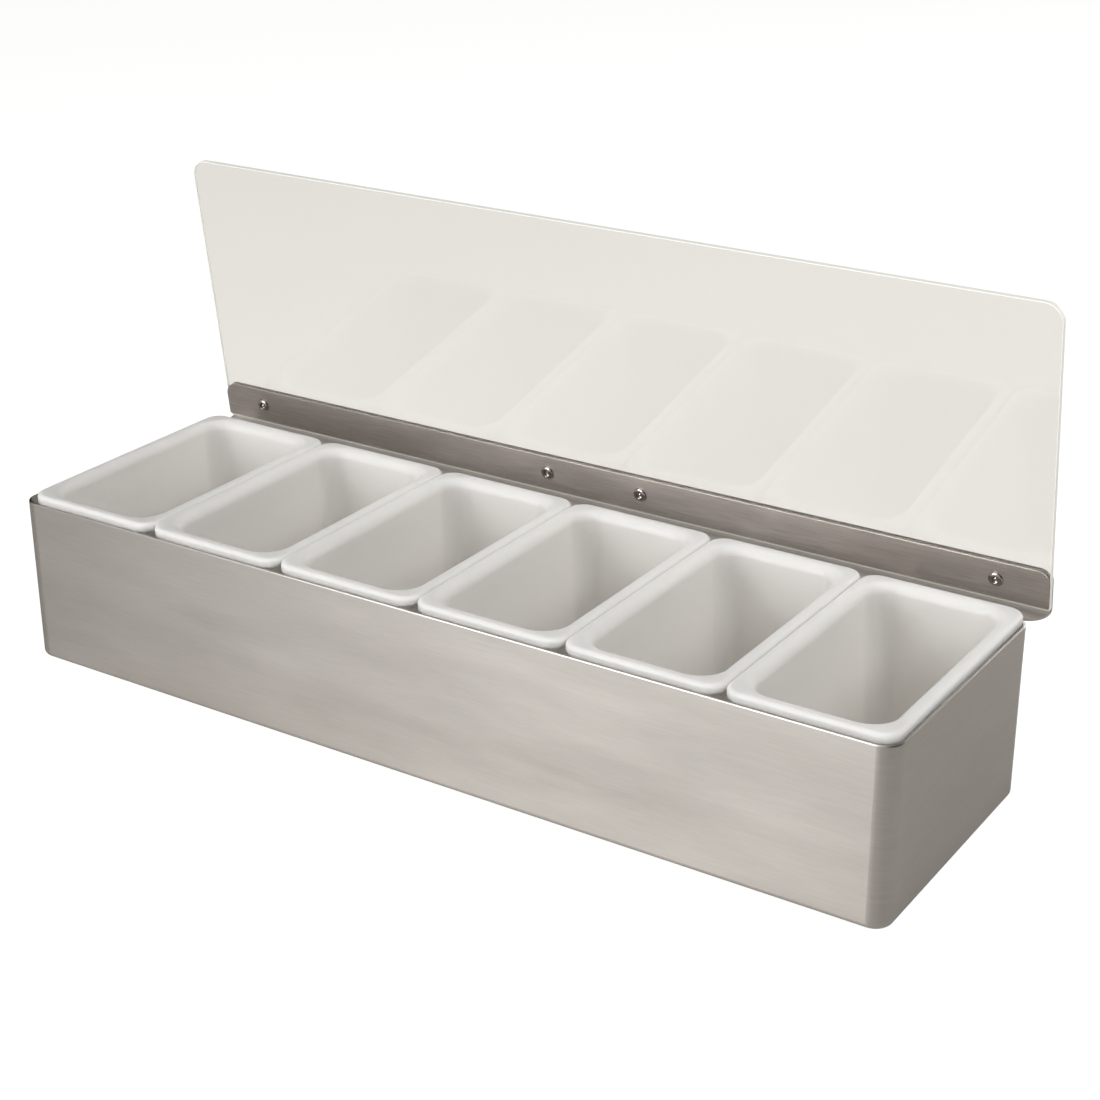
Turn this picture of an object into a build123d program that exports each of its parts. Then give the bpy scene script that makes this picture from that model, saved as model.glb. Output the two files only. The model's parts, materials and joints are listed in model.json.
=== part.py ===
from build123d import *
import math
import os

# Condiment caddy: a brushed steel box, six moulded inserts and one clear hinged lid.
# Millimetres. X runs along the row of inserts, +Y to the rear, +Z up.
# The origin is the centre of the box's underside. The lid is modelled in its open position.

# ---- steel box ----
BOX_WIDTH = 490.0
BOX_DEPTH = 144.5
BOX_HEIGHT = 88.0
BOX_SHEET = 0.8
BOX_CORNER_R = 9.0
BOX_BASE_R = 3.0
HEM_HEIGHT = 8.0
HEM_FOLD = 0.8
HEM_EDGE_R = 0.75

# ---- inserts ----
POT_COUNT = 6
RIM_GAP = 0.4
ROW_SPARE = 7.7
ROW_SHIFT = 2.35
RIM_EDGE_INSET = 0.5
RIM_RISE = 4.8
RIM_SEAT_GAP = 0.3
RIM_CORNER_R = 9.0
RIM_BAND = 8.0
RIM_EDGE_R = 2.0
RIM_THICK = 2.2
RIM_LIP_WALL = 1.8
POT_WALL = 2.0
POT_DRAFT = 5.5
POT_MOUTH_R = 12.0
POT_BASE_R = 10.0
POT_MOUTH_EDGE_R = 5.0
POT_FLOOR_R = 7.0
POT_HEEL_R = 6.0
POT_FLOOR = 2.2
POT_FOOT_BAND = 3.0
POT_FOOT_RISE = 0.8
POT_LIFT_CLEAR = 6.0

# ---- lid: clear sheet clamped between a front strip and a rear angle ----
LID_OVERHANG = 0.6
LID_LIP = 8.5
LID_SHEET = 3.0
LID_CORNER_R = 9.0
LID_LEAN = 7.1
STRIP_SHEET = 1.0
STRIP_HEIGHT = 19.1
STRIP_LIFT = 1.5
STRIP_CORNER_R = 7.0
ANGLE_SHEET = 1.0
ANGLE_LEG = 22.5
SKIRT_EDGE = 8.0
ANGLE_BEND_R = 1.0
ANGLE_LEG_CORNER_R = 6.0
ANGLE_SKIRT_CORNER_R = 10.5
SHEET_FOOT_GAP = 0.1
LID_REST_GAP = 0.3

# ---- lid rivets ----
RIVET_END_INSET = 26.1
RIVET_INNER_SPREAD = 56.0
RIVET_RISE = 9.7
RIVET_SHANK_D = 4.0
RIVET_HEAD_D = 7.4
RIVET_HEAD_H = 1.2
RIVET_BRIM = 0.25
RIVET_DIMPLE_D = 3.0
RIVET_DIMPLE_DEPTH = 0.7
RIVET_CORE_D = 1.6
RIVET_CORE_H = 0.45
RIVET_TAIL_D = 5.6
RIVET_TAIL_H = 1.2
RIVET_TAIL_BORE_D = 2.2
RIVET_REST_GAP = 0.3
RIVET_HOLE_GAP = 0.1

# ---- hinges ----
HINGE_END_INSET = 95.0
HINGE_LENGTH = 50.0
HINGE_KNUCKLES = 5
HINGE_KNUCKLE_GAP = 0.3
HINGE_KNUCKLE_R = 3.2
HINGE_PIN_D = 3.0
HINGE_PIN_GAP = 0.05
HINGE_PIN_HEAD_D = 4.4
HINGE_PIN_HEAD_H = 0.8
HINGE_LEAF = 1.2
HINGE_LEAF_CORNER_R = 2.5
FIXED_LEAF_DROP = 22.0
MOVING_LEAF_REACH = 18.0
PIVOT_WALL_GAP = 0.3
PIVOT_BELOW_EDGE = 10.0
SKIRT_WALL_GAP = 0.5
STOP_NIB_DROP = 5.2
STOP_NIB_GAP = 0.05
STOP_NIB_THICK = 1.6
LEAF_RIVET_SPREAD = 32.0
LEAF_RIVET_DROP = 15.0

# ---- reach of an edge search, and how far a cut runs past a face ----
NEAR = 0.01
CUT_PAST = 1.0

# ---- worked out from the values above ----
HEM_THICK = BOX_SHEET + HEM_FOLD
RIM_WIDTH = (BOX_WIDTH - ROW_SPARE - (POT_COUNT - 1) * RIM_GAP) / POT_COUNT
RIM_DEPTH = BOX_DEPTH - 2.0 * RIM_EDGE_INSET
RIM_LIP_HEIGHT = RIM_RISE - RIM_SEAT_GAP
POT_PITCH = RIM_WIDTH + RIM_GAP
RIM_TOP = BOX_HEIGHT + RIM_RISE
POT_HEIGHT = RIM_TOP - BOX_SHEET
POT_LIFT = BOX_HEIGHT - BOX_SHEET + POT_LIFT_CLEAR
WALL_REAR = BOX_DEPTH / 2.0
FIXED_FACE = HINGE_KNUCKLE_R + PIVOT_WALL_GAP
PIVOT_Y = WALL_REAR + FIXED_FACE
PIVOT_Z = BOX_HEIGHT - PIVOT_BELOW_EDGE
CLOSED_UNDERSIDE = RIM_TOP + RIVET_REST_GAP + RIVET_HEAD_H + STRIP_SHEET
SHEET_FRONT = CLOSED_UNDERSIDE - PIVOT_Z
SHEET_BACK = SHEET_FRONT + LID_SHEET
ANGLE_BACK = SHEET_BACK + ANGLE_SHEET
SKIRT_UNDER = FIXED_FACE - SKIRT_WALL_GAP - ANGLE_SHEET
SKIRT_TOP = SKIRT_UNDER + ANGLE_SHEET
SHEET_FOOT = SKIRT_TOP + ANGLE_BEND_R + SHEET_FOOT_GAP
LID_WIDTH = BOX_WIDTH + 2.0 * LID_OVERHANG
LID_LENGTH = PIVOT_Y + BOX_DEPTH / 2.0 + LID_LIP - SHEET_FOOT
STRIP_FOOT = SHEET_FOOT + STRIP_LIFT
RIVET_LEVEL = STRIP_FOOT + RIVET_RISE
RIVET_OUTER = LID_WIDTH / 2.0 - RIVET_END_INSET
RIVET_INNER = RIVET_INNER_SPREAD / 2.0
RIVET_SPOTS = (-RIVET_OUTER, -RIVET_INNER, RIVET_INNER, RIVET_OUTER)
HINGE_OUT = BOX_WIDTH / 2.0 - HINGE_END_INSET
HINGE_SPOTS = (-HINGE_OUT, HINGE_OUT)
REST_ARM = PIVOT_Y + RIM_DEPTH / 2.0 - RIM_BAND / 2.0
REST_DROP = math.degrees(math.atan2(CLOSED_UNDERSIDE - RIM_TOP - LID_REST_GAP, REST_ARM))
CLOSED_SWING = 90.0 + REST_DROP - LID_LEAN


def slab(width, depth, radius, height):
    """Upright prism with rounded corners, standing on z = 0."""
    return extrude(RectangleRounded(width, depth, radius), height)


def edges_at(shape, level):
    """Edges that lie flat at one height."""
    return shape.edges().filter_by_position(Axis.Z, level - NEAR, level + NEAR)


def cylinder_x(radius, x_from, x_to):
    """Cylinder along X between two stations, on the X axis."""
    disc = Plane.YZ.offset(x_from) * Circle(radius)
    return extrude(disc, x_to - x_from)


def cylinder_y(radius, x, z, y_from, y_to):
    """Cylinder along Y between two depths, centred on x, z."""
    disc = Plane(origin=(x, y_from, z), x_dir=(1, 0, 0), z_dir=(0, 1, 0)) * Circle(radius)
    return extrude(disc, y_to - y_from)


# ---- box ----

def box_shell():
    """Folded tray with a closed hem turned inwards along its top edge."""
    body = slab(BOX_WIDTH, BOX_DEPTH, BOX_CORNER_R, BOX_HEIGHT)
    body = fillet(edges_at(body, 0.0), BOX_BASE_R)
    wall = BOX_SHEET
    fold = HEM_THICK
    hem_foot = BOX_HEIGHT - HEM_HEIGHT
    cavity = slab(BOX_WIDTH - 2 * wall, BOX_DEPTH - 2 * wall, BOX_CORNER_R - wall, hem_foot - wall)
    cavity = fillet(edges_at(cavity, 0.0), BOX_BASE_R - wall)
    mouth = slab(BOX_WIDTH - 2 * fold, BOX_DEPTH - 2 * fold, BOX_CORNER_R - fold, HEM_HEIGHT + wall)
    body = body - Pos(0, 0, wall) * cavity
    body = body - Pos(0, 0, hem_foot - wall) * mouth
    body = fillet(edges_at(body, BOX_HEIGHT), min(HEM_EDGE_R, 0.48 * fold))
    for x in leaf_rivet_stations():
        body = body - leaf_rivet_hole(x)
    return body


# ---- insert ----

def pot_section(grow, level, radius):
    """Rounded rectangle of the insert's inner wall at one level, grown outwards."""
    inset = POT_DRAFT * (1.0 - level / POT_HEIGHT)
    width = RIM_WIDTH - 2 * (RIM_BAND + inset - grow)
    depth = RIM_DEPTH - 2 * (RIM_BAND + inset - grow)
    return Pos(0, 0, level) * RectangleRounded(width, depth, radius + grow)


def tapered(grow, base, top):
    """Tapered block of the insert between two levels."""
    return loft([pot_section(grow, base, POT_BASE_R), pot_section(grow, top, POT_MOUTH_R)])


def pot_rim():
    """Rounded rim with a turned-down lip."""
    foot = POT_HEIGHT - RIM_LIP_HEIGHT
    rim = Pos(0, 0, foot) * slab(RIM_WIDTH, RIM_DEPTH, RIM_CORNER_R, RIM_LIP_HEIGHT)
    rim = fillet(edges_at(rim, POT_HEIGHT), RIM_EDGE_R)
    width = RIM_WIDTH - 2 * RIM_LIP_WALL
    depth = RIM_DEPTH - 2 * RIM_LIP_WALL
    channel = slab(width, depth, RIM_CORNER_R - RIM_LIP_WALL, RIM_LIP_HEIGHT - RIM_THICK)
    return rim - Pos(0, 0, foot) * channel


def pot_foot_recess():
    """Shallow recess that leaves a foot ring under the insert."""
    inset = RIM_BAND + POT_DRAFT - POT_WALL + POT_HEEL_R + POT_FOOT_BAND
    return slab(RIM_WIDTH - 2 * inset, RIM_DEPTH - 2 * inset, POT_BASE_R, POT_FOOT_RISE)


def insert_pot():
    """Moulded insert: tapered cup, rolled rim and a foot ring."""
    cup = tapered(POT_WALL, 0.0, POT_HEIGHT - RIM_EDGE_R)
    cup = fillet(edges_at(cup, 0.0), POT_HEEL_R)
    cavity = tapered(0.0, POT_FLOOR, POT_HEIGHT)
    cavity = fillet(edges_at(cavity, POT_FLOOR), POT_FLOOR_R)
    pot = cup + pot_rim()
    pot = fillet(rim_edges(pot, POT_HEIGHT - RIM_THICK, POT_WALL), POT_MOUTH_EDGE_R - POT_WALL)
    pot = pot - cavity
    pot = pot - pot_foot_recess()
    return fillet(rim_edges(pot, POT_HEIGHT, 0.0), POT_MOUTH_EDGE_R)


def rim_edges(pot, level, grow):
    """Edges at one level that lie within the mouth, grown outwards."""
    half_width = RIM_WIDTH / 2.0 - RIM_BAND + grow + NEAR
    half_depth = RIM_DEPTH / 2.0 - RIM_BAND + grow + NEAR
    middles = [(edge, edge @ 0.5) for edge in edges_at(pot, level)]
    return [edge for edge, m in middles if abs(m.X) <= half_width and abs(m.Y) <= half_depth]


def pot_place(index):
    """X of one insert's middle: the row stands pushed towards the right-hand end."""
    return ROW_SHIFT + (index - (POT_COUNT - 1) / 2.0) * POT_PITCH


# ---- lid pieces, in the lid's own frame: pivot on the X axis, clear sheet upright ----

def lid_in_place(piece):
    """Tip a lid piece to its open lean and carry it to the pivot."""
    return Pos(0, PIVOT_Y, PIVOT_Z) * Rot(LID_LEAN, 0, 0) * piece


def upright_plate(width, foot, height, y_from, thick, top_r):
    """Plate in the XZ plane with rounded upper corners."""
    face = Plane(origin=(0, y_from, foot + height / 2.0), x_dir=(1, 0, 0), z_dir=(0, 1, 0))
    plate = extrude(face * Rectangle(width, height), thick)
    return fillet(corner_edges(plate, Axis.Y, y_from + thick / 2.0, foot + height), top_r)


def corner_edges(shape, axis, y, z):
    """Edges along one axis whose middle lies at a given depth and height."""
    edges = shape.edges().filter_by(axis)
    return [e for e in edges if abs(e.center().Y - y) < NEAR and abs(e.center().Z - z) < NEAR]


def rivet_holes(y_from, y_to):
    """The holes that the lid rivets pass through."""
    radius = RIVET_SHANK_D / 2.0 + RIVET_HOLE_GAP
    holes = [cylinder_y(radius, x, RIVET_LEVEL, y_from, y_to) for x in RIVET_SPOTS]
    return holes


def lid_sheet():
    """Clear sheet with rounded free corners."""
    sheet = upright_plate(LID_WIDTH, SHEET_FOOT, LID_LENGTH, SHEET_FRONT, LID_SHEET, LID_CORNER_R)
    for hole in rivet_holes(SHEET_FRONT - CUT_PAST, SHEET_BACK + CUT_PAST):
        sheet = sheet - hole
    return sheet


def lid_strip():
    """Flat clamping strip on the side of the sheet that faces the inserts."""
    y_from = SHEET_FRONT - STRIP_SHEET
    strip = upright_plate(LID_WIDTH, STRIP_FOOT, STRIP_HEIGHT, y_from, STRIP_SHEET, STRIP_CORNER_R)
    for hole in rivet_holes(y_from - CUT_PAST, SHEET_FRONT + CUT_PAST):
        strip = strip - hole
    return strip


def lid_angle():
    """Bent angle: one leg behind the sheet, the other a skirt that hangs down the rear when shut."""
    z_leg = SKIRT_UNDER + ANGLE_LEG
    outline = Polyline(
        (SKIRT_EDGE, SKIRT_UNDER),
        (ANGLE_BACK, SKIRT_UNDER),
        (ANGLE_BACK, z_leg),
        (SHEET_BACK, z_leg),
        (SHEET_BACK, SKIRT_TOP),
        (SKIRT_EDGE, SKIRT_TOP),
        close=True,
    )
    profile = Plane.YZ.offset(-LID_WIDTH / 2.0) * make_face(outline)
    angle = extrude(profile, LID_WIDTH)
    angle = fillet(corner_edges(angle, Axis.X, ANGLE_BACK, SKIRT_UNDER), ANGLE_BEND_R + ANGLE_SHEET)
    angle = fillet(corner_edges(angle, Axis.X, SHEET_BACK, SKIRT_TOP), ANGLE_BEND_R)
    leg_middle = (SHEET_BACK + ANGLE_BACK) / 2.0
    angle = fillet(corner_edges(angle, Axis.Y, leg_middle, z_leg), ANGLE_LEG_CORNER_R)
    skirt_middle = (SKIRT_UNDER + SKIRT_TOP) / 2.0
    angle = fillet(corner_edges(angle, Axis.Z, SKIRT_EDGE, skirt_middle), ANGLE_SKIRT_CORNER_R)
    for hole in rivet_holes(SHEET_BACK - CUT_PAST, ANGLE_BACK + CUT_PAST):
        angle = angle - hole
    return angle


def rivet(grip):
    """Blind rivet along Z: head seated at z = 0, tail set below the grip, a core stub in the dimple."""
    head_r = RIVET_HEAD_D / 2.0
    dimple_r = RIVET_DIMPLE_D / 2.0
    dimple_foot = RIVET_HEAD_H - RIVET_DIMPLE_DEPTH
    core_r = RIVET_CORE_D / 2.0
    core_top = dimple_foot + RIVET_CORE_H
    shank_r = RIVET_SHANK_D / 2.0
    tail_r = RIVET_TAIL_D / 2.0
    tail_bore_r = RIVET_TAIL_BORE_D / 2.0
    tail_end = -grip - RIVET_TAIL_H
    tail_waist = -grip - RIVET_TAIL_H / 2.0
    dome_r = 0.6 * head_r + 0.4 * dimple_r
    dome_z = RIVET_BRIM + 0.72 * (RIVET_HEAD_H - RIVET_BRIM)
    stub = ThreePointArc(
        (0, core_top),
        (0.7 * core_r, dimple_foot + 0.7 * RIVET_CORE_H),
        (core_r, dimple_foot),
    )
    head = Polyline((core_r, dimple_foot), (dimple_r, dimple_foot), (dimple_r, RIVET_HEAD_H))
    dome = ThreePointArc((dimple_r, RIVET_HEAD_H), (dome_r, dome_z), (head_r, RIVET_BRIM))
    body = Polyline(
        (head_r, RIVET_BRIM),
        (head_r, 0),
        (shank_r, 0),
        (shank_r, -grip),
        (tail_r, -grip),
        (tail_r, tail_waist),
    )
    curl = ThreePointArc(
        (tail_r, tail_waist),
        (tail_r - 0.2 * (tail_r - tail_bore_r), tail_waist - 0.8 * (tail_waist - tail_end)),
        (tail_bore_r, tail_end),
    )
    core = Polyline((tail_bore_r, tail_end), (tail_bore_r, tail_waist), (0, tail_waist), (0, core_top))
    profile = Plane.XZ * make_face(Curve() + [stub, head, dome, body, curl, core])
    return revolve(profile, Axis.Z)


def lid_rivet(x):
    """Rivet through strip, sheet and angle, its head towards the inserts."""
    grip = STRIP_SHEET + LID_SHEET + ANGLE_SHEET
    seat = Plane(origin=(x, SHEET_FRONT - STRIP_SHEET, RIVET_LEVEL), x_dir=(1, 0, 0), z_dir=(0, -1, 0))
    return seat * rivet(grip)


# ---- hinge pieces, about a pivot on the X axis ----

def knuckle_spans(x):
    """Start and end of each knuckle of one hinge."""
    pitch = HINGE_LENGTH / HINGE_KNUCKLES
    start = x - HINGE_LENGTH / 2.0
    half_gap = HINGE_KNUCKLE_GAP / 2.0
    marks = [start + index * pitch for index in range(HINGE_KNUCKLES)]
    return [(mark + half_gap, mark + pitch - half_gap) for mark in marks]


def hinge_leaf(x, leaf, bore_d, kept):
    """A leaf with its own knuckles: the plate is notched where the other leaf's knuckles turn."""
    body = leaf
    clear_r = HINGE_KNUCKLE_R + HINGE_KNUCKLE_GAP
    half_gap = HINGE_KNUCKLE_GAP / 2.0
    for index, (x_from, x_to) in enumerate(knuckle_spans(x)):
        if index % 2 != kept:
            body = body - cylinder_x(clear_r, x_from - 2 * half_gap, x_to + 2 * half_gap)
    for index, (x_from, x_to) in enumerate(knuckle_spans(x)):
        if index % 2 == kept:
            body = body + cylinder_x(HINGE_KNUCKLE_R, x_from, x_to)
    reach = HINGE_LENGTH / 2.0 + CUT_PAST
    return body - cylinder_x(bore_d / 2.0, x - reach, x + reach)


def leaf_rivet_stations():
    """X of the rivets that hold the fixed leaves."""
    half = LEAF_RIVET_SPREAD / 2.0
    return [x + offset for x in HINGE_SPOTS for offset in (-half, half)]


def leaf_rivet_hole(x):
    """Hole through a fixed leaf and the box's rear wall."""
    radius = RIVET_SHANK_D / 2.0 + RIVET_HOLE_GAP
    y_from = WALL_REAR - BOX_SHEET - CUT_PAST
    y_to = WALL_REAR + HINGE_LEAF + CUT_PAST
    return cylinder_y(radius, x, PIVOT_Z - LEAF_RIVET_DROP, y_from, y_to)


def hinge_fixed_leaf(x):
    """Leaf that lies on the rear wall and hangs down from the pivot."""
    length = HINGE_LENGTH - HINGE_KNUCKLE_GAP
    middle = (-FIXED_LEAF_DROP) / 2.0
    face = Plane(origin=(x, -FIXED_FACE, middle), x_dir=(1, 0, 0), z_dir=(0, 1, 0))
    leaf = extrude(face * Rectangle(length, FIXED_LEAF_DROP), HINGE_LEAF)
    low = leaf.edges().filter_by(Axis.Y).sort_by(Axis.Z)[:2]
    leaf = fillet(low, HINGE_LEAF_CORNER_R)
    body = Pos(0, PIVOT_Y, PIVOT_Z) * hinge_leaf(x, leaf, HINGE_PIN_D, 0)
    for station in leaf_rivet_stations():
        body = body - leaf_rivet_hole(station)
    return body


def stop_nib(x_from, x_to):
    """Tail of a moving knuckle, drawn about the pivot as it stands against the fixed leaf when open."""
    near = HINGE_LEAF - FIXED_FACE + STOP_NIB_GAP
    middle = near + STOP_NIB_THICK / 2.0
    place = Pos((x_from + x_to) / 2.0, middle, -STOP_NIB_DROP)
    return extrude(place * Rectangle(x_to - x_from, STOP_NIB_THICK), STOP_NIB_DROP)


def hinge_moving_leaf(x):
    """Leaf under the angle's skirt, with a stop nib on each of its knuckles."""
    length = HINGE_LENGTH - HINGE_KNUCKLE_GAP
    middle = Pos(x, MOVING_LEAF_REACH / 2.0, SKIRT_UNDER - HINGE_LEAF)
    leaf = extrude(middle * Rectangle(length, MOVING_LEAF_REACH), HINGE_LEAF)
    far = leaf.edges().filter_by(Axis.Z).sort_by(Axis.Y)[-2:]
    leaf = fillet(far, HINGE_LEAF_CORNER_R)
    for index, (x_from, x_to) in enumerate(knuckle_spans(x)):
        if index % 2 == 1:
            leaf = leaf + Rot(-LID_LEAN, 0, 0) * stop_nib(x_from, x_to)
    return hinge_leaf(x, leaf, HINGE_PIN_D + 2 * HINGE_PIN_GAP, 1)


def hinge_pin(x):
    """Pin held in the fixed knuckles, with a flat head at each end."""
    reach = HINGE_LENGTH / 2.0
    pin = cylinder_x(HINGE_PIN_D / 2.0, x - reach, x + reach)
    for side in (-1, 1):
        inner = x + side * reach
        outer = inner + side * HINGE_PIN_HEAD_H
        head = cylinder_x(HINGE_PIN_HEAD_D / 2.0, min(inner, outer), max(inner, outer))
        rim = [e for e in head.edges() if abs(e.center().X - outer) < NEAR]
        pin = pin + fillet(rim, 0.5 * HINGE_PIN_HEAD_H)
    return Pos(0, PIVOT_Y, PIVOT_Z) * pin


def leaf_rivet(x):
    """Rivet through a fixed leaf and the rear wall, its tail inside the box."""
    level = PIVOT_Z - LEAF_RIVET_DROP
    seat = Plane(origin=(x, WALL_REAR + HINGE_LEAF, level), x_dir=(1, 0, 0), z_dir=(0, 1, 0))
    return seat * rivet(BOX_SHEET + HINGE_LEAF)


# ---- write every piece ----

def save(name, shape):
    export_step(shape, "parts/" + name + ".step")


def main():
    os.makedirs("parts", exist_ok=True)
    save("box_shell", box_shell())
    pot = insert_pot()
    for index in range(POT_COUNT):
        save("pot_%d" % (index + 1), Pos(pot_place(index), 0, BOX_SHEET) * pot)
    save("lid_sheet", lid_in_place(lid_sheet()))
    save("lid_strip", lid_in_place(lid_strip()))
    save("lid_angle", lid_in_place(lid_angle()))
    save("lid_rivets", Compound(children=[lid_in_place(lid_rivet(x)) for x in RIVET_SPOTS]))
    for side, x in zip(("left", "right"), HINGE_SPOTS):
        save("hinge_" + side + "_fixed_leaf", hinge_fixed_leaf(x))
        save("hinge_" + side + "_moving_leaf", lid_in_place(hinge_moving_leaf(x)))
        save("hinge_" + side + "_pin", hinge_pin(x))
    save("hinge_rivets", Compound(children=[leaf_rivet(x) for x in leaf_rivet_stations()]))
    print("pivot y %.3f z %.3f" % (PIVOT_Y, PIVOT_Z))
    print("lid swing to closed %.3f deg, insert lift %.2f" % (CLOSED_SWING, POT_LIFT))
    print("insert pitch %.2f, rim depth %.2f, rim top %.2f" % (POT_PITCH, RIM_DEPTH, RIM_TOP))


main()
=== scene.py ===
"""Condiment caddy: brushed steel box, six moulded inserts and one clear hinged lid, in a pale studio."""

import json
import math

import bmesh
import bpy
from mathutils import Matrix, Vector

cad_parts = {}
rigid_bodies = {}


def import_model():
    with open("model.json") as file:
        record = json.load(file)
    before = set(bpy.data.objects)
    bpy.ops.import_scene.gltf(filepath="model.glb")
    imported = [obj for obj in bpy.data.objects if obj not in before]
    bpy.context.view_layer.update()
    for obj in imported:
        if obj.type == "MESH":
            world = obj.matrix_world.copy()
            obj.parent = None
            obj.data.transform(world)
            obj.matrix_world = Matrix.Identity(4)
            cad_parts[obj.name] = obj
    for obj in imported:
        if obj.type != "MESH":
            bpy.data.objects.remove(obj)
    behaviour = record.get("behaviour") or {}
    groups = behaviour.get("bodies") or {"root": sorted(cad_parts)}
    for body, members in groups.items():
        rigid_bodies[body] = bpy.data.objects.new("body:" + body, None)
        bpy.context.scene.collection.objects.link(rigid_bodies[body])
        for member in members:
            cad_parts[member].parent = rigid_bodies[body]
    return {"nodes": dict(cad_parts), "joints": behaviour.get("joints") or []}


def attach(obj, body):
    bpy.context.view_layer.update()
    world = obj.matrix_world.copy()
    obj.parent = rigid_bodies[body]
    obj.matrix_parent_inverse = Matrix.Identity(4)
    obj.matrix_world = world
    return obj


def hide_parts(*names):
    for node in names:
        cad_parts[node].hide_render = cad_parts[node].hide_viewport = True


MM = 0.001

# ---- view: the photograph's camera, in millimetres and degrees ----
VIEW_AZIMUTH = 33.177
VIEW_ELEVATION = 23.655
VIEW_ROLL = -0.216
VIEW_DISTANCE = 1025.26
VIEW_TARGET = (32.179, 0.0, 98.866)
VIEW_NEAR = 10.0
VIEW_FAR = 50000.0
FOCAL_PIXELS = 2166.2
IMAGE_PIXELS = 1100.0
SENSOR_WIDTH = 36.0

# ---- lid, in millimetres and degrees: the same sizes as the solids have ----
LID_LEAN = 7.1
LID_HALF_WIDTH = 245.6
SHEET_FOOT = 4.1
SHEET_LENGTH = 152.4
SHEET_MIDDLE = 18.8
SHEET_THICK = 3.0
SHEET_CORNER_R = 9.0
SHEET_ARRIS = 0.3
STRIP_FOOT = 5.6
STRIP_HEIGHT = 19.1
STRIP_MIDDLE = 16.8
STRIP_THICK = 1.0
STRIP_CORNER_R = 7.0
STRIP_ARRIS = 0.18
FOOT_CORNER_R = 0.6

# ---- how finely the flat lid pieces are drawn ----
# Points nearer than WELD millimetres are joined. A face is a broad one of the sheet where the part of
# its normal that stands off the sheet is over BROAD_FACE.
CORNER_STEPS = 12
FOOT_STEPS = 3
HOLE_STEPS = 32
ARRIS_STEPS = 2
WELD = 0.01
BROAD_FACE = 0.999

# ---- rivets, in millimetres and degrees, with some parts as a share of a size ----
RIVET_HOLE_R = 2.1
RIVET_HEAD_R = 3.7
RIVET_HEAD_H = 1.2
RIVET_BRIM = 0.25
RIVET_BRIM_EDGE = 0.06
RIVET_DIMPLE_R = 1.7
RIVET_DIMPLE_DEPTH = 1.1
RIVET_LIP = 0.22
RIVET_CORE_R = 0.8
RIVET_CORE_H = 0.6
RIVET_CORE_TIP_SHARE = 0.55
RIVET_CORE_SIDE_SHARE = 0.7
RIVET_CORE_SLANT = 0.25
RIVET_SHANK_R = 2.0
RIVET_TAIL_R = 2.8
RIVET_TAIL_H = 1.2
RIVET_TAIL_SEAT_INSET = 0.2
RIVET_TAIL_ROUND = 0.6
RIVET_TAIL_BORE_R = 1.1
RIVET_TAIL_BORE_SHARE = 0.5
RIVET_CREASE = 40.0
RIVET_SEED = 7

# ---- how finely a rivet is drawn ----
RIVET_SPOKES = 56
RIVET_LIP_STEPS = 3
RIVET_HEAD_STEPS = 8
RIVET_TAIL_STEPS = 6

# ---- where the rivets sit, in millimetres; a turn of 90 degrees faces a head to the front ----
LID_RIVET_REACH = (219.5, 28.0)
LID_RIVET_LEVEL = 15.3
LID_RIVET_SEAT = 16.3
LID_RIVET_GRIP = 5.0
LEAF_RIVET_REACH = (166.0, 134.0)
LEAF_RIVET_LEVEL = 63.0
LEAF_RIVET_SEAT = 73.45
LEAF_RIVET_GRIP = 2.0
HEAD_TO_FRONT = 90.0
HEAD_TO_REAR = -90.0

# ---- finish colours, as they look in plain light ----
STEEL_HEX = "#C9C5C0"
STEEL_LID_HEX = "#C2BAB4"
POLISHED_HEX = "#B9B4AF"
MILL_HEX = "#DEDAD6"
POLYPROPYLENE_HEX = "#F3EEE6"
ACRYLIC_HEX = "#F5F2EC"
ACRYLIC_EDGE_HEX = "#E2E2DC"
TABLE_HEX = "#BBB8B4"
TABLE_SEEN_HEX = "#969694"
WINDOW_HEX = "#FFFDFA"
FAR_WALL_HEX = "#BFB6B2"
DARK_SIDE_HEX = "#1E1B1A"
WHITE = (1.0, 1.0, 1.0, 1.0)

# ---- finish patterns: how wide, or how long along the sheet, one patch of noise is, in millimetres ----
BRUSH_RUN = 16.7
BRUSH_LINE = 0.357
SHEEN_RUN = 111.0
SHEEN_BAND = 22.2
MOULD_MOTTLE = 22.2
MOULD_GRAIN = 0.556
HANDLING_SMEAR = 33.3
TUMBLED_HAZE = 1.11

# ---- the span that noise seldom leaves, stretched to the whole range of a pattern ----
NOISE_LOW = 0.3
NOISE_HIGH = 0.7

# ---- sockets that have no name of their own ----
MIX_SHARE = 0
MIX_FIRST_COLOUR = 6
MIX_SECOND_COLOUR = 7
MIX_COLOUR = 2
RANDOM_FLOAT_MAX = 3
RANDOM_FLOAT = 1

# ---- light: a dome that is brightest towards the front left; lamps look at a point in millimetres ----
DOME_STRENGTH = 0.62
WINDOW_DIRECTION = (-0.385, -0.865, 0.32)
DARK_SIDE_STOPS = (0.4, 0.6)
LAMP_TARGET = (0.0, 0.0, 50.0)

# ---- table: half its width in metres, how far it lies under the box in millimetres, its lift to white ----
TABLE_HALF = 6.0
TABLE_DROP = 0.2
TABLE_LIFT_THROUGH_LID = 0.7
TABLE_LIFT_DIRECT = 0.88


def clear_start_scene():
    for item in list(bpy.data.objects):
        bpy.data.objects.remove(item)


clear_start_scene()
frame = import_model()
bpy.context.view_layer.update()


# ---- small helpers ----


def linear(hex_colour):
    """An sRGB hex colour as linear RGBA."""
    channels = [int(hex_colour[i : i + 2], 16) / 255.0 for i in (1, 3, 5)]
    return tuple(c / 12.92 if c <= 0.04045 else ((c + 0.055) / 1.055) ** 2.4 for c in channels) + (1.0,)


def dimmed(hex_colour, share):
    """The same colour with less light."""
    return tuple(share * c for c in linear(hex_colour)[:3]) + (1.0,)


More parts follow.
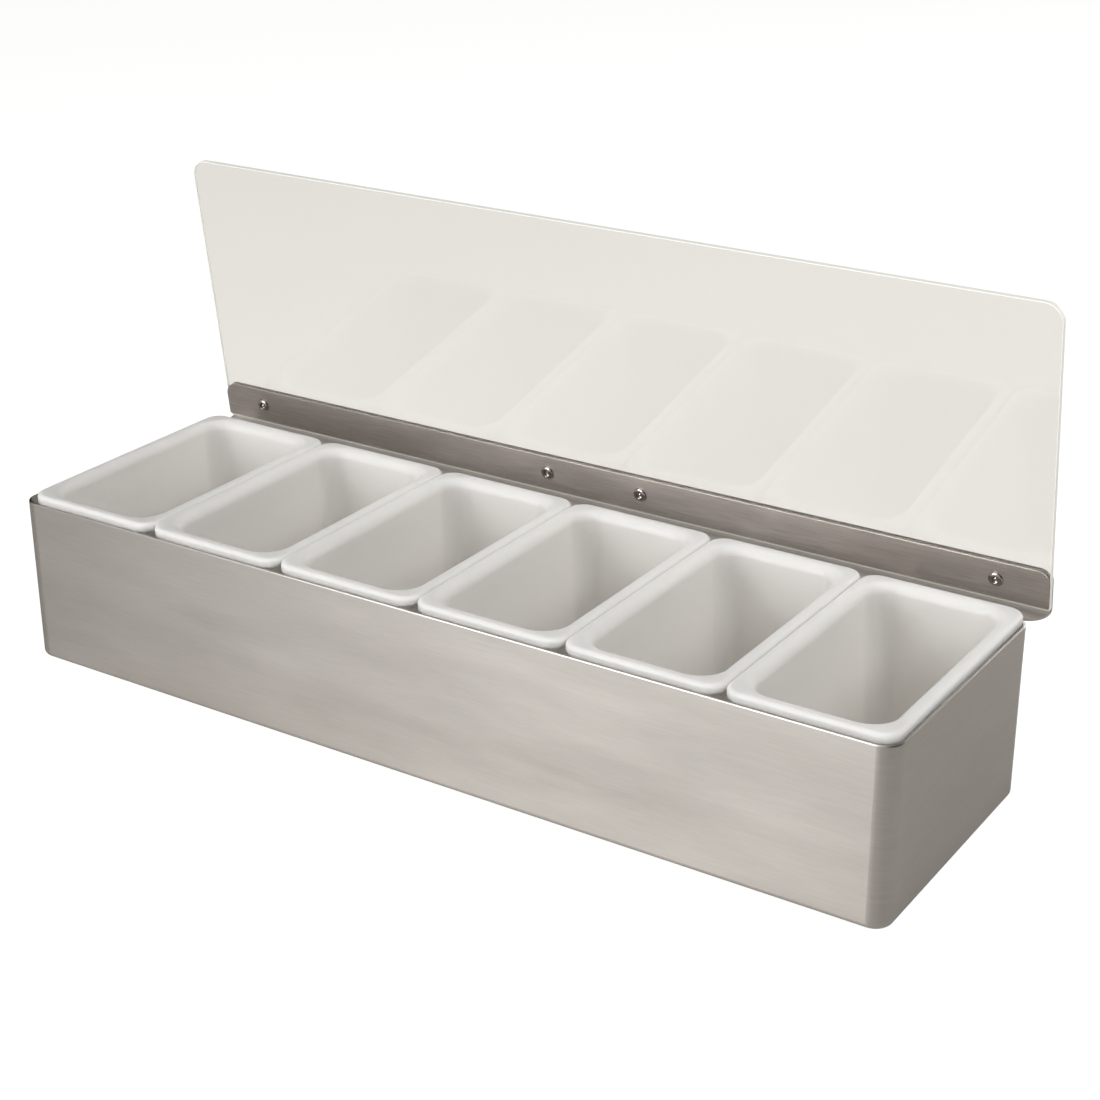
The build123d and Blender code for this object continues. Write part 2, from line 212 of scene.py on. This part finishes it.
def cells(width):
    """Noise cells to the metre, from the width of one in millimetres."""
    return 1.0 / (width * MM)


def direction(azimuth, elevation):
    """Unit vector away from the caddy, in degrees; azimuth is counted to the right of the front."""
    az = math.radians(azimuth)
    el = math.radians(elevation)
    return Vector((math.sin(az) * math.cos(el), -math.cos(az) * math.cos(el), math.sin(el)))


def add_object(name, data):
    """A new object in the scene, at the origin."""
    item = bpy.data.objects.new(name, data)
    bpy.context.scene.collection.objects.link(item)
    return item


def finished_mesh(item, name):
    """What the item's curve or modifiers make, as one plain mesh; the item itself goes."""
    mesh = bpy.data.meshes.new_from_object(item.evaluated_get(bpy.context.evaluated_depsgraph_get()))
    bpy.data.objects.remove(item)
    mesh.name = name
    return mesh


def add_node(tree, kind, settings=None, links=None):
    """One node with its settings: an input's name or number, or a property's name; links feed its inputs."""
    node = tree.nodes.new(kind)
    for key, value in (settings or {}).items():
        if isinstance(key, str) and hasattr(node, key):
            setattr(node, key, value)
        else:
            node.inputs[key].default_value = value
    for key, source in (links or {}).items():
        tree.links.new(source, node.inputs[key])
    return node


def new_material(name):
    """An empty node material and its tree."""
    material = bpy.data.materials.new(name)
    material.use_nodes = True
    material.node_tree.nodes.clear()
    return material, material.node_tree


# ---- materials ----


def brushed_stainless(name, colour, streak, lean, smear, turn, roughness):
    """Stainless sheet finished with a grit belt: fine lines along it, which smear a highlight across them.

    The real lines are about 0.1 mm wide; they are drawn BRUSH_LINE wide, so that they show. A dark
    line keeps the share streak of the colour. The pattern leans with the sheet, by lean degrees. The
    highlight spreads along smear, turned about the surface by the share turn of a full turn.
    """
    material, tree = new_material(name)
    coords = add_node(tree, "ShaderNodeTexCoord")
    upright = (-math.radians(lean), 0.0, 0.0)
    brushed = add_node(
        tree,
        "ShaderNodeMapping",
        {"Rotation": upright, "Scale": (cells(BRUSH_RUN), cells(BRUSH_RUN), cells(BRUSH_LINE))},
        {"Vector": coords.outputs["Object"]},
    )
    lines = add_node(
        tree,
        "ShaderNodeTexNoise",
        {"Scale": 1.0, "Detail": 4.0, "Roughness": 0.6},
        {"Vector": brushed.outputs["Vector"]},
    )
    banded = add_node(
        tree,
        "ShaderNodeMapping",
        {"Rotation": upright, "Scale": (cells(SHEEN_RUN), cells(SHEEN_RUN), cells(SHEEN_BAND))},
        {"Vector": coords.outputs["Object"]},
    )
    sheen = add_node(
        tree,
        "ShaderNodeTexNoise",
        {"Scale": 1.0, "Detail": 3.0, "Roughness": 0.5},
        {"Vector": banded.outputs["Vector"]},
    )
    grain = add_node(
        tree,
        "ShaderNodeMapRange",
        {"From Min": NOISE_LOW, "From Max": NOISE_HIGH},
        {"Value": lines.outputs["Fac"]},
    )
    tone = add_node(
        tree,
        "ShaderNodeMix",
        {"data_type": "RGBA", MIX_FIRST_COLOUR: linear(colour), MIX_SECOND_COLOUR: dimmed(colour, streak)},
        {MIX_SHARE: grain.outputs["Result"]},
    )
    rough = add_node(
        tree,
        "ShaderNodeMapRange",
        {
            "From Min": NOISE_LOW,
            "From Max": NOISE_HIGH,
            "To Min": roughness - 0.03,
            "To Max": roughness + 0.03,
        },
        {"Value": sheen.outputs["Fac"]},
    )
    bump = add_node(
        tree,
        "ShaderNodeBump",
        {"Strength": 0.06, "Distance": 0.1 * MM},
        {"Height": lines.outputs["Fac"]},
    )
    across = add_node(tree, "ShaderNodeCombineXYZ", dict(zip("XYZ", smear)))
    shader = add_node(
        tree,
        "ShaderNodeBsdfPrincipled",
        {"Metallic": 1.0, "Anisotropic": 0.8, "Anisotropic Rotation": turn},
        {
            "Base Color": tone.outputs[MIX_COLOUR],
            "Roughness": rough.outputs["Result"],
            "Normal": bump.outputs["Normal"],
            "Tangent": across.outputs["Vector"],
        },
    )
    add_node(tree, "ShaderNodeOutputMaterial", links={"Surface": shader.outputs["BSDF"]})
    return material


def bright_stainless(name, colour, roughness):
    """Stainless that no belt has brushed: turned, pressed or as it left the mill, with a fine uneven haze."""
    material, tree = new_material(name)
    coords = add_node(tree, "ShaderNodeTexCoord")
    haze = add_node(
        tree,
        "ShaderNodeTexNoise",
        {"Scale": cells(TUMBLED_HAZE), "Detail": 3.0},
        {"Vector": coords.outputs["Object"]},
    )
    rough = add_node(
        tree,
        "ShaderNodeMapRange",
        {"To Min": roughness - 0.05, "To Max": roughness + 0.08},
        {"Value": haze.outputs["Fac"]},
    )
    shader = add_node(
        tree,
        "ShaderNodeBsdfPrincipled",
        {"Base Color": linear(colour), "Metallic": 1.0},
        {"Roughness": rough.outputs["Result"]},
    )
    add_node(tree, "ShaderNodeOutputMaterial", links={"Surface": shader.outputs["BSDF"]})
    return material


def moulded_polypropylene(name):
    """Injection-moulded natural polypropylene: milky, lets light through its wall, satin with a soft mottle.

    The mould's real grain is finer than MOULD_GRAIN; it is drawn that coarse, so that it breaks the gloss.
    """
    material, tree = new_material(name)
    coords = add_node(tree, "ShaderNodeTexCoord")
    mottle = add_node(
        tree,
        "ShaderNodeTexNoise",
        {"Scale": cells(MOULD_MOTTLE), "Detail": 3.0},
        {"Vector": coords.outputs["Object"]},
    )
    tone = add_node(
        tree,
        "ShaderNodeMix",
        {
            "data_type": "RGBA",
            MIX_FIRST_COLOUR: linear(POLYPROPYLENE_HEX),
            MIX_SECOND_COLOUR: dimmed(POLYPROPYLENE_HEX, 0.97),
        },
        {MIX_SHARE: mottle.outputs["Fac"]},
    )
    skin = add_node(
        tree,
        "ShaderNodeTexNoise",
        {"Scale": cells(MOULD_GRAIN), "Detail": 2.0},
        {"Vector": coords.outputs["Object"]},
    )
    bump = add_node(
        tree,
        "ShaderNodeBump",
        {"Strength": 0.04, "Distance": 0.1 * MM},
        {"Height": skin.outputs["Fac"]},
    )
    rough = add_node(
        tree,
        "ShaderNodeMapRange",
        {"To Min": 0.42, "To Max": 0.52},
        {"Value": mottle.outputs["Fac"]},
    )
    shader = add_node(
        tree,
        "ShaderNodeBsdfPrincipled",
        {
            "IOR": 1.49,
            "Subsurface Weight": 1.0,
            "Subsurface Radius": (1.0, 0.99, 0.96),
            "Subsurface Scale": 11.0 * MM,
        },
        {
            "Base Color": tone.outputs[MIX_COLOUR],
            "Normal": bump.outputs["Normal"],
            "Roughness": rough.outputs["Result"],
        },
    )
    add_node(tree, "ShaderNodeOutputMaterial", links={"Surface": shader.outputs["BSDF"]})
    return material


def cast_acrylic(name, colour, roughness, clearness, painted_glow):
    """Cast acrylic: clear with a faint warm tint on its polished faces, hazy and pale grey at a cut edge.

    A cut edge is given a painted glow: an emission in its own colour stands in for the light that the sheet's
    broad faces gather and lead to it.
    """
    material, tree = new_material(name)
    coords = add_node(tree, "ShaderNodeTexCoord")
    handling = add_node(
        tree,
        "ShaderNodeTexNoise",
        {"Scale": cells(HANDLING_SMEAR), "Detail": 4.0},
        {"Vector": coords.outputs["Object"]},
    )
    tone = add_node(
        tree,
        "ShaderNodeMix",
        {"data_type": "RGBA", MIX_FIRST_COLOUR: linear(colour), MIX_SECOND_COLOUR: dimmed(colour, 0.99)},
        {MIX_SHARE: handling.outputs["Fac"]},
    )
    shader = add_node(
        tree,
        "ShaderNodeBsdfPrincipled",
        {
            "Roughness": roughness,
            "IOR": 1.49,
            "Transmission Weight": clearness,
            "Emission Color": linear(colour),
            "Emission Strength": painted_glow,
        },
        {"Base Color": tone.outputs[MIX_COLOUR]},
    )
    add_node(tree, "ShaderNodeOutputMaterial", links={"Surface": shader.outputs["BSDF"]})
    return material


def give(node_name, material):
    """Puts one material on a carried-over CAD node."""
    for slot in frame["nodes"][node_name].material_slots:
        slot.material = material


# ---- flat lid pieces: outline with its holes, thickness and softened arrises ----


def lid_place():
    """From the lid's own frame, in millimetres, to the open lid in metres."""
    hinge = [joint for joint in frame["joints"] if joint["name"] == "lid_hinge"][0]
    turn = Matrix.Rotation(math.radians(LID_LEAN), 4, "X")
    return Matrix.Translation(Vector(hinge["pos_m"])) @ turn @ Matrix.Scale(MM, 4)


def arc(centre, radius, start, steps):
    """Points of a quarter turn, anticlockwise."""
    turns = [math.radians(start + 90.0 * step / steps) for step in range(steps + 1)]
    return [(centre[0] + radius * math.cos(t), centre[1] + radius * math.sin(t)) for t in turns]


def ring(x, level, radius, count):
    """Points of a round hole."""
    turns = [2.0 * math.pi * step / count for step in range(count)]
    return [(x + radius * math.cos(t), level + radius * math.sin(t)) for t in turns]


def plate_outline(foot, height, corner):
    """Upright plate with a nearly square foot and rounded upper corners."""
    half = LID_HALF_WIDTH
    top = foot + height
    small = FOOT_CORNER_R
    outline = arc((-half + small, foot + small), small, 180.0, FOOT_STEPS)
    outline += arc((half - small, foot + small), small, 270.0, FOOT_STEPS)
    outline += arc((half - corner, top - corner), corner, 0.0, CORNER_STEPS)
    outline += arc((-half + corner, top - corner), corner, 90.0, CORNER_STEPS)
    return outline


def lid_plate(name, outline, middle, thick, arris, materials):
    """A flat lid piece with rivet holes; its edge faces take the last material."""
    curve = bpy.data.curves.new(name, "CURVE")
    curve.dimensions = "2D"
    curve.fill_mode = "BOTH"
    curve.extrude = thick / 2.0 - arris
    curve.bevel_depth = arris
    curve.bevel_resolution = ARRIS_STEPS
    curve.offset = -arris
    spots = [side * reach for side in (-1, 1) for reach in LID_RIVET_REACH]
    for points in [outline] + [ring(x, LID_RIVET_LEVEL, RIVET_HOLE_R, HOLE_STEPS) for x in spots]:
        spline = curve.splines.new("POLY")
        spline.points.add(len(points) - 1)
        for point, (x, y) in zip(spline.points, points):
            point.co = (x, y, 0.0, 1.0)
        spline.use_cyclic_u = True
    mesh = finished_mesh(add_object(name + "_outline", curve), name)
    mesh.materials.clear()
    for material in materials:
        mesh.materials.append(material)
    shell = bmesh.new()
    shell.from_mesh(mesh)
    bmesh.ops.remove_doubles(shell, verts=shell.verts, dist=WELD)
    bmesh.ops.recalc_face_normals(shell, faces=shell.faces)
    for face in shell.faces:
        broad = abs(face.normal.z) > BROAD_FACE
        face.smooth = not broad
        face.material_index = 0 if broad else len(materials) - 1
    shell.to_mesh(mesh)
    shell.free()
    upright = Matrix.Translation((0.0, middle, 0.0)) @ Matrix.Rotation(math.radians(90.0), 4, "X")
    mesh.transform(lid_place() @ upright)
    return add_object(name, mesh)


# ---- rivets ----


def rivet_profile(grip):
    """Radius and height down a blind rivet, from the broken core over the head to the tail."""
    floor = RIVET_HEAD_H - RIVET_DIMPLE_DEPTH
    lip_r = RIVET_DIMPLE_R + RIVET_LIP
    lip_foot = RIVET_HEAD_H - RIVET_LIP
    profile = [
        (RIVET_CORE_TIP_SHARE * RIVET_CORE_R, floor + RIVET_CORE_H),
        (RIVET_CORE_R, floor + RIVET_CORE_SIDE_SHARE * RIVET_CORE_H),
        (RIVET_CORE_R, floor),
        (RIVET_DIMPLE_R, floor),
        (RIVET_DIMPLE_R, lip_foot),
    ]
    for step in range(1, RIVET_LIP_STEPS + 1):
        turn = math.radians(90.0 * step / RIVET_LIP_STEPS)
        profile.append((lip_r - RIVET_LIP * math.cos(turn), lip_foot + RIVET_LIP * math.sin(turn)))
    for step in range(1, RIVET_HEAD_STEPS + 1):
        turn = math.radians(90.0 * step / RIVET_HEAD_STEPS)
        radius = lip_r + (RIVET_HEAD_R - lip_r) * math.sin(turn)
        profile.append((radius, RIVET_BRIM + (RIVET_HEAD_H - RIVET_BRIM) * math.cos(turn)))
    profile += [
        (RIVET_HEAD_R, RIVET_BRIM_EDGE),
        (RIVET_HEAD_R - RIVET_BRIM_EDGE, 0.0),
        (RIVET_SHANK_R, 0.0),
        (RIVET_SHANK_R, -grip),
        (RIVET_TAIL_R - RIVET_TAIL_SEAT_INSET, -grip),
    ]
    for step in range(RIVET_TAIL_STEPS + 1):
        turn = math.radians(180.0 * step / RIVET_TAIL_STEPS - 90.0)
        radius = RIVET_TAIL_R - RIVET_TAIL_ROUND + RIVET_TAIL_ROUND * math.cos(turn)
        profile.append((max(radius, RIVET_TAIL_BORE_R), -grip - RIVET_TAIL_H / 2.0 * (1.0 + math.sin(turn))))
    profile += [
        (RIVET_TAIL_BORE_R, -grip - RIVET_TAIL_H),
        (RIVET_TAIL_BORE_R, -grip - RIVET_TAIL_BORE_SHARE * RIVET_TAIL_H),
    ]
    return profile


def rivet_blank(grip):
    """One rivet turned from its profile, with the slanted break of its core."""
    mesh = bpy.data.meshes.new("rivet_blank")
    shell = bmesh.new()
    rows = []
    for radius, height in rivet_profile(grip):
        row = []
        for spoke in range(RIVET_SPOKES):
            turn = 2.0 * math.pi * spoke / RIVET_SPOKES
            slant = RIVET_CORE_SLANT * radius * math.cos(turn) if not rows else 0.0
            row.append(shell.verts.new((radius * math.cos(turn), radius * math.sin(turn), height + slant)))
        rows.append(row)
    for upper, lower in zip(rows, rows[1:]):
        for spoke in range(RIVET_SPOKES):
            after = (spoke + 1) % RIVET_SPOKES
            shell.faces.new((upper[spoke], lower[spoke], lower[after], upper[after]))
    shell.faces.new(rows[0])
    shell.faces.new(rows[-1])
    bmesh.ops.recalc_face_normals(shell, faces=shell.faces)
    for face in shell.faces:
        face.smooth = len(face.verts) == 4
    for edge in shell.edges:
        edge.smooth = edge.calc_face_angle(0.0) < math.radians(RIVET_CREASE)
    shell.to_mesh(mesh)
    shell.free()
    mesh.transform(Matrix.Scale(MM, 4))
    return mesh


def rivet_row_tree(material):
    """Geometry nodes: the incoming rivet set at both ends of an outer and an inner span.

    Each one is rolled about its own axis by a random angle, as a rivet gun leaves them.
    """
    tree = bpy.data.node_groups.new("rivet_row", "GeometryNodeTree")
    face = tree.interface
    face.new_socket("Rivet", in_out="INPUT", socket_type="NodeSocketGeometry")
    for name in ("Outer Reach", "Inner Reach", "Depth", "Height", "Turn"):
        face.new_socket(name, in_out="INPUT", socket_type="NodeSocketFloat")
    face.new_socket("Seed", in_out="INPUT", socket_type="NodeSocketInt")
    face.new_socket("Rivets", in_out="OUTPUT", socket_type="NodeSocketGeometry")
    given = add_node(tree, "NodeGroupInput").outputs
    spans = []
    for reach in ("Outer Reach", "Inner Reach"):
        back = add_node(tree, "ShaderNodeMath", {"operation": "MULTIPLY", 1: -1.0}, {0: given[reach]})
        ends = []
        for x in (back.outputs["Value"], given[reach]):
            end = add_node(
                tree,
                "ShaderNodeCombineXYZ",
                links={"X": x, "Y": given["Depth"], "Z": given["Height"]},
            )
            ends.append(end.outputs["Vector"])
        span = add_node(
            tree,
            "GeometryNodeMeshLine",
            {"mode": "END_POINTS", "Count": 2},
            {"Start Location": ends[0], "Offset": ends[1]},
        )
        spans.append(span.outputs["Mesh"])
    points = add_node(tree, "GeometryNodeJoinGeometry")
    for span in spans:
        tree.links.new(span, points.inputs["Geometry"])
    roll = add_node(
        tree,
        "FunctionNodeRandomValue",
        {"data_type": "FLOAT", RANDOM_FLOAT_MAX: 2.0 * math.pi},
        {"Seed": given["Seed"]},
    )
    rolled = add_node(tree, "ShaderNodeCombineXYZ", links={"Z": roll.outputs[RANDOM_FLOAT]})
    tipped = add_node(tree, "ShaderNodeCombineXYZ", links={"X": given["Turn"]})
    placed = add_node(
        tree,
        "GeometryNodeInstanceOnPoints",
        links={
            "Points": points.outputs["Geometry"],
            "Instance": given["Rivet"],
            "Rotation": tipped.outputs["Vector"],
        },
    )
    turned = add_node(
        tree,
        "GeometryNodeRotateInstances",
        {"Local Space": True},
        {"Instances": placed.outputs["Instances"], "Rotation": rolled.outputs["Vector"]},
    )
    real = add_node(
        tree,
        "GeometryNodeRealizeInstances",
        links={"Geometry": turned.outputs["Instances"]},
    )
    coat = add_node(
        tree,
        "GeometryNodeSetMaterial",
        {"Material": material},
        {"Geometry": real.outputs["Geometry"]},
    )
    add_node(tree, "NodeGroupOutput", links={"Rivets": coat.outputs["Geometry"]})
    return tree


def rivet_row(name, tree, grip, reaches, depth, height, turn):
    """Four rivets as one plain mesh, in metres, in the frame that their sizes are given in."""
    blank = add_object(name + "_blank", rivet_blank(grip))
    nodes = blank.modifiers.new("rivet_row", "NODES")
    nodes.node_group = tree
    sizes = {
        "Outer Reach": reaches[0] * MM,
        "Inner Reach": reaches[1] * MM,
        "Depth": depth * MM,
        "Height": height * MM,
        "Turn": math.radians(turn),
        "Seed": RIVET_SEED,
    }
    for socket in tree.interface.items_tree:
        if socket.in_out == "INPUT" and socket.name in sizes:
            nodes[socket.identifier] = sizes[socket.name]
    blank.update_tag()
    return add_object(name, finished_mesh(blank, name))


# ---- stage ----


def camera():
    """The photograph's camera: its place, aim, roll and focal length."""
    back = direction(VIEW_AZIMUTH, VIEW_ELEVATION)
    right = (-back).cross(Vector((0.0, 0.0, 1.0))).normalized()
    up = right.cross(-back)
    roll = math.radians(VIEW_ROLL)
    turned_right = math.cos(roll) * right + math.sin(roll) * up
    turned_up = math.cos(roll) * up - math.sin(roll) * right
    place = (Vector(VIEW_TARGET) + VIEW_DISTANCE * back) * MM
    lens = bpy.data.cameras.new("view")
    lens.sensor_width = SENSOR_WIDTH
    lens.lens = FOCAL_PIXELS / IMAGE_PIXELS * SENSOR_WIDTH
    lens.clip_start = VIEW_NEAR * MM
    lens.clip_end = VIEW_FAR * MM
    body = add_object("view", lens)
    turn = Matrix((turned_right, turned_up, back)).transposed()
    body.matrix_world = Matrix.Translation(place) @ turn.to_4x4()
    bpy.context.scene.camera = body


def softbox(name, azimuth, elevation, distance, width, height, power, mirrored=True):
    """A soft lamp that looks at the caddy, in degrees, metres and watts.

    A lamp that isn't mirrored lights the plastic and leaves the steel's reflections alone.
    """
    away = direction(azimuth, elevation)
    lamp = bpy.data.lights.new(name, "AREA")
    lamp.shape = "RECTANGLE"
    lamp.size = width
    lamp.size_y = height
    lamp.energy = power
    body = add_object(name, lamp)
    body.location = Vector(LAMP_TARGET) * MM + distance * away
    body.rotation_euler = away.to_track_quat("Z", "Y").to_euler()
    body.visible_glossy = mirrored


def seen_ray(tree):
    """1 for what the eye meets directly or through the clear lid."""
    path = add_node(tree, "ShaderNodeLightPath")
    seen = add_node(
        tree,
        "ShaderNodeMath",
        {"operation": "MAXIMUM"},
        {0: path.outputs["Is Camera Ray"], 1: path.outputs["Is Transmission Ray"]},
    )
    return seen.outputs["Value"]


def world():
    """White to the eye; for light, a studio that is pale at the front left, dark beside it, grey behind."""
    sky = bpy.data.worlds.new("studio")
    sky.use_nodes = True
    tree = sky.node_tree
    tree.nodes.clear()
    coords = add_node(tree, "ShaderNodeTexCoord")
    towards = add_node(
        tree,
        "ShaderNodeVectorMath",
        {"operation": "DOT_PRODUCT", 1: WINDOW_DIRECTION},
        {0: coords.outputs["Generated"]},
    )
    share = add_node(
        tree,
        "ShaderNodeMapRange",
        {"From Min": -1.0, "From Max": 1.0},
        {"Value": towards.outputs["Value"]},
    )
    tone = add_node(tree, "ShaderNodeValToRGB", links={"Fac": share.outputs["Result"]})
    tone.color_ramp.interpolation = "EASE"
    stops = tone.color_ramp.elements
    stops[0].color = linear(FAR_WALL_HEX)
    stops[1].color = linear(WINDOW_HEX)
    for place in DARK_SIDE_STOPS:
        stops.new(place).color = linear(DARK_SIDE_HEX)
    dome = add_node(
        tree,
        "ShaderNodeBackground",
        {"Strength": DOME_STRENGTH},
        {"Color": tone.outputs["Color"]},
    )
    white = add_node(tree, "ShaderNodeBackground", {"Color": WHITE, "Strength": 1.0})
    mix = add_node(
        tree,
        "ShaderNodeMixShader",
        links={0: seen_ray(tree), 1: dome.outputs["Background"], 2: white.outputs["Background"]},
    )
    add_node(tree, "ShaderNodeOutputWorld", links={"Surface": mix.outputs["Shader"]})
    bpy.context.scene.world = sky


def table_top():
    """Pale table: lifted to white for the eye, with the caddy's soft shadow left in it."""
    far = TABLE_HALF
    mesh = bpy.data.meshes.new("table_top")
    corners = [(-far, -far, 0.0), (far, -far, 0.0), (far, far, 0.0), (-far, far, 0.0)]
    mesh.from_pydata(corners, [], [(0, 1, 2, 3)])
    top = add_object("table_top", mesh)
    top.location.z = -TABLE_DROP * MM
    material, tree = new_material("table_paper")
    paper = add_node(tree, "ShaderNodeBsdfDiffuse", {"Color": linear(TABLE_HEX)})
    shade = add_node(tree, "ShaderNodeBsdfDiffuse", {"Color": linear(TABLE_SEEN_HEX)})
    path = add_node(tree, "ShaderNodeLightPath")
    bright = add_node(
        tree,
        "ShaderNodeMapRange",
        {"To Min": TABLE_LIFT_THROUGH_LID, "To Max": TABLE_LIFT_DIRECT},
        {"Value": path.outputs["Is Camera Ray"]},
    )
    lift = add_node(
        tree,
        "ShaderNodeEmission",
        {"Color": WHITE},
        {"Strength": bright.outputs["Result"]},
    )
    lifted = add_node(
        tree,
        "ShaderNodeAddShader",
        links={0: shade.outputs["BSDF"], 1: lift.outputs["Emission"]},
    )
    mix = add_node(
        tree,
        "ShaderNodeMixShader",
        links={0: seen_ray(tree), 1: paper.outputs["BSDF"], 2: lifted.outputs["Shader"]},
    )
    add_node(tree, "ShaderNodeOutputMaterial", links={"Surface": mix.outputs["Shader"]})
    mesh.materials.append(material)


# ---- put together ----

camera()
world()
table_top()
softbox("key", azimuth=-21.0, elevation=18.0, distance=2.0, width=1.1, height=0.9, power=26.0)
softbox(
    "side", azimuth=76.0, elevation=45.0, distance=1.9, width=1.2, height=1.2, power=23.0, mirrored=False
)
softbox("top", azimuth=10.0, elevation=84.0, distance=1.8, width=0.8, height=0.8, power=3.0)
softbox("fill", azimuth=160.0, elevation=12.0, distance=2.2, width=0.9, height=0.9, power=9.0)

bpy.context.scene.view_settings.view_transform = "Standard"

# The smear is a little off upright, so that it still has a direction on the hem and the floor.
box_steel = brushed_stainless(
    "brushed_stainless_box",
    STEEL_HEX,
    streak=0.89,
    lean=0.0,
    smear=(0.02, 0.03, 1.0),
    turn=0.0,
    roughness=0.36,
)
give("box_shell", box_steel)
give("lid_angle", bright_stainless("mill_finish_stainless", MILL_HEX, roughness=0.6))

# The strip's smear is given along its lines and turned by a quarter, so that it leans with the lid.
lid_steel = brushed_stainless(
    "brushed_stainless_lid",
    STEEL_LID_HEX,
    streak=0.72,
    lean=LID_LEAN,
    smear=(1.0, 0.0, 0.0),
    turn=0.25,
    roughness=0.33,
)
strip = lid_plate(
    "clamp_strip",
    plate_outline(STRIP_FOOT, STRIP_HEIGHT, STRIP_CORNER_R),
    STRIP_MIDDLE,
    STRIP_THICK,
    STRIP_ARRIS,
    [lid_steel],
)
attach(strip, "lid")
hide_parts("lid_strip")

acrylic = cast_acrylic("cast_acrylic_polished", ACRYLIC_HEX, roughness=0.0, clearness=1.0, painted_glow=0.0)
# The cut edge glows with painted light: its emission stands in for light led along the sheet to the edge.
acrylic_edge = cast_acrylic("cast_acrylic_cut_edge", ACRYLIC_EDGE_HEX, roughness=0.4, clearness=0.3, painted_glow=0.3)
sheet = lid_plate(
    "clear_sheet",
    plate_outline(SHEET_FOOT, SHEET_LENGTH, SHEET_CORNER_R),
    SHEET_MIDDLE,
    SHEET_THICK,
    SHEET_ARRIS,
    [acrylic, acrylic_edge],
)
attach(sheet, "lid")
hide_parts("lid_sheet")

plastic = moulded_polypropylene("polypropylene_natural")
for name in sorted(frame["nodes"]):
    if name.startswith("pot_"):
        give(name, plastic)

row_tree = rivet_row_tree(bright_stainless("polished_stainless", POLISHED_HEX, roughness=0.18))
lid_row = rivet_row(
    "lid_rivet_row",
    row_tree,
    LID_RIVET_GRIP,
    LID_RIVET_REACH,
    LID_RIVET_SEAT,
    LID_RIVET_LEVEL,
    HEAD_TO_FRONT,
)
lid_row.data.transform(lid_place() @ Matrix.Scale(1.0 / MM, 4))
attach(lid_row, "lid")
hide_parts("lid_rivets")
leaf_row = rivet_row(
    "leaf_rivet_row",
    row_tree,
    LEAF_RIVET_GRIP,
    LEAF_RIVET_REACH,
    LEAF_RIVET_SEAT,
    LEAF_RIVET_LEVEL,
    HEAD_TO_REAR,
)
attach(leaf_row, "box")
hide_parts("hinge_rivets")

hinge_steel = bright_stainless("pressed_stainless", POLISHED_HEX, roughness=0.3)
for name in sorted(frame["nodes"]):
    if name.startswith("hinge_") and name != "hinge_rivets":
        give(name, hinge_steel)
